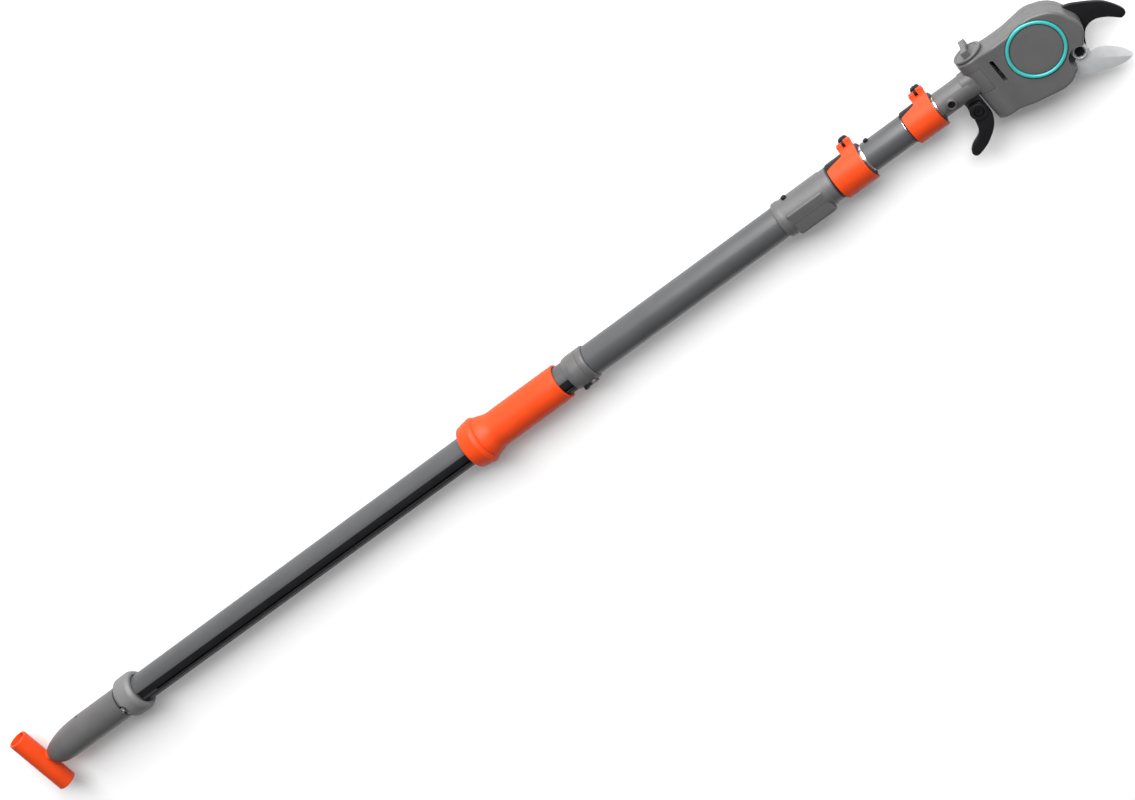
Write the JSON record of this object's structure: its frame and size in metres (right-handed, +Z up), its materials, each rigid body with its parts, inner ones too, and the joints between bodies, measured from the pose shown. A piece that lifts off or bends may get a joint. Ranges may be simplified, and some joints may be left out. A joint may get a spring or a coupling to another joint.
{
  "type": "telescoping pole pruner",
  "caption": "Telescoping pole with a tilting bypass cutting head, a sliding pull grip, a T-handle at the foot, lever clamps and a branch hook.",
  "frame": {"origin": "middle of the bounding box at the ground that the tool lies on", "axes": "+X along the pole towards the jaws, +Z up, on the side of the head with the disc; the clamp ears and the tilt knob are on +Y, the branch hook and the open blade on -Y"},
  "size_m": [1.6348, 0.1279, 0.0622],
  "materials": {
    "orange_plastic": "moulded orange plastic, satin with a fine grain",
    "tube_coat": "drawn aluminium tube with a dark grey satin coat",
    "grey_plastic": "dark warm grey moulded plastic, fine matte grain",
    "light_grey_plastic": "mid grey moulded plastic, satin",
    "black_plastic": "black moulded plastic, satin",
    "black_steel": "black coated steel, satin",
    "bare_aluminium": "plain drawn aluminium",
    "bright_steel": "zinc plated steel",
    "blade_steel": "ground blade steel, satin",
    "teal_plastic": "turquoise moulded ring",
    "gear_brass": "plain machined",
    "webbing": "woven flat strap, dark grey"
  },
  "bodies": {
    "pole": {"end_cap": "grey_plastic", "end_collar": "light_grey_plastic", "collar_screw": "bright_steel", "lower_tube": "tube_coat", "slot_liner": "black_plastic", "joint_collar": "grey_plastic", "latch_pin": "bright_steel", "joint_spigot": "black_plastic", "main_tube": "tube_coat", "tube_ferrule": "grey_plastic", "ferrule_pad": "grey_plastic", "ferrule_button": "black_plastic", "clamp_1_ring": "black_plastic", "clamp_1_eyebolt": "black_steel", "clamp_1_nut": "bright_steel", "clamp_1_pin": "black_steel"},
    "t_handle": {"t_handle_grip": "orange_plastic", "t_handle_pin": "bright_steel", "strap_tail": "webbing"},
    "sliding_grip": {"grip_sleeve": "orange_plastic", "grip_carriage": "black_plastic", "strap_lower": "webbing"},
    "latch": {"joint_latch": "black_plastic"},
    "clamp_1_arm": {"clamp_1_lever": "orange_plastic"},
    "middle_section": {"middle_tube": "bare_aluminium", "middle_ferrule": "tube_coat", "middle_button": "black_plastic", "clamp_2_ring": "black_plastic", "clamp_2_eyebolt": "black_steel", "clamp_2_nut": "bright_steel", "clamp_2_pin": "black_steel"},
    "clamp_2_arm": {"clamp_2_lever": "orange_plastic"},
    "neck_section": {"inner_tube": "bare_aluminium", "neck": "grey_plastic", "neck_screw": "black_steel", "branch_hook": "black_plastic", "hook_screw": "black_steel", "strap_upper": "webbing"},
    "cutting_head": {"head_front_shell": "grey_plastic", "head_back_shell": "grey_plastic", "housing_screw_1": "bright_steel", "housing_screw_2": "bright_steel", "housing_screw_3": "bright_steel", "housing_screw_4": "bright_steel", "disc_ring": "teal_plastic", "disc_cover": "grey_plastic", "fixed_jaw": "black_steel", "pivot_bolt": "black_steel", "pivot_nut": "bright_steel", "drum_axle": "bright_steel", "gear_axle": "bright_steel", "return_spring": "bright_steel", "tilt_bolt": "bright_steel"},
    "knob": {"tilt_knob": "grey_plastic"},
    "drum": {"strap_drum": "black_plastic", "strap_coil": "webbing", "drum_pinion": "gear_brass"},
    "gear": {"reduction_gear": "gear_brass"},
    "blade": {"moving_blade": "blade_steel", "blade_bush": "blade_steel"}
  },
  "joints": [
    {"name": "t_handle_pull", "type": "slide", "parent": "pole", "child": "t_handle", "axis": [-1, 0, 0], "range_m": [0, 0.26], "stiffness_N_per_m": 30},
    {"name": "grip_pull", "type": "slide", "parent": "pole", "child": "sliding_grip", "axis": [-1, 0, 0], "range_m": [0, 0.2614], "stiffness_N_per_m": 40},
    {"name": "latch_lift", "type": "hinge", "parent": "pole", "child": "latch", "pos_m": [0.1005, 0.00094, 0.04129], "axis": [0, 0.4695, 0.8829], "range_deg": [0, 25], "stiffness_Nm_per_rad": 0.03},
    {"name": "telescope_1", "type": "slide", "parent": "pole", "child": "middle_section", "axis": [1, 0, 0], "range_m": [0, 0.25]},
    {"name": "clamp_1_open", "type": "hinge", "parent": "pole", "child": "clamp_1_arm", "pos_m": [0.497, 0.0511, 0.0311], "axis": [-1, 0, 0], "range_deg": [0, 110]},
    {"name": "telescope_2", "type": "slide", "parent": "middle_section", "child": "neck_section", "axis": [1, 0, 0], "range_m": [0, 0.25]},
    {"name": "clamp_2_open", "type": "hinge", "parent": "middle_section", "child": "clamp_2_arm", "pos_m": [0.593, 0.0491, 0.0311], "axis": [-1, 0, 0], "range_deg": [0, 110]},
    {"name": "head_tilt", "type": "hinge", "parent": "neck_section", "child": "cutting_head", "pos_m": [0.6622, 0.0201, 0.0311], "axis": [0, 1, 0], "range_deg": [-45, 45]},
    {"name": "knob_turn", "type": "hinge", "parent": "cutting_head", "child": "knob", "pos_m": [0.6622, 0.0501, 0.0311], "axis": [0, 1, 0], "range_deg": [0, 360]},
    {"name": "drum_spin", "type": "hinge", "parent": "cutting_head", "child": "drum", "pos_m": [0.7242, 0.0164, 0.0311], "axis": [0, 0, 1], "range_deg": [0, 577]},
    {"name": "gear_spin", "type": "hinge", "parent": "cutting_head", "child": "gear", "pos_m": [0.73717, -0.00379, 0.0311], "axis": [0, 0, 1], "range_deg": [-193, 0]},
    {"name": "blade_close", "type": "hinge", "parent": "cutting_head", "child": "blade", "pos_m": [0.7552, -0.0214, 0.0311], "axis": [0, 0, 1], "range_deg": [0, 60.2]}
  ],
  "couplings": [
    {"joint": "drum_spin", "follows": "grip_pull", "rad_per_m": 38.462},
    {"joint": "gear_spin", "follows": "grip_pull", "rad_per_m": -12.82},
    {"joint": "blade_close", "follows": "grip_pull", "rad_per_m": 4.0064}
  ]
}
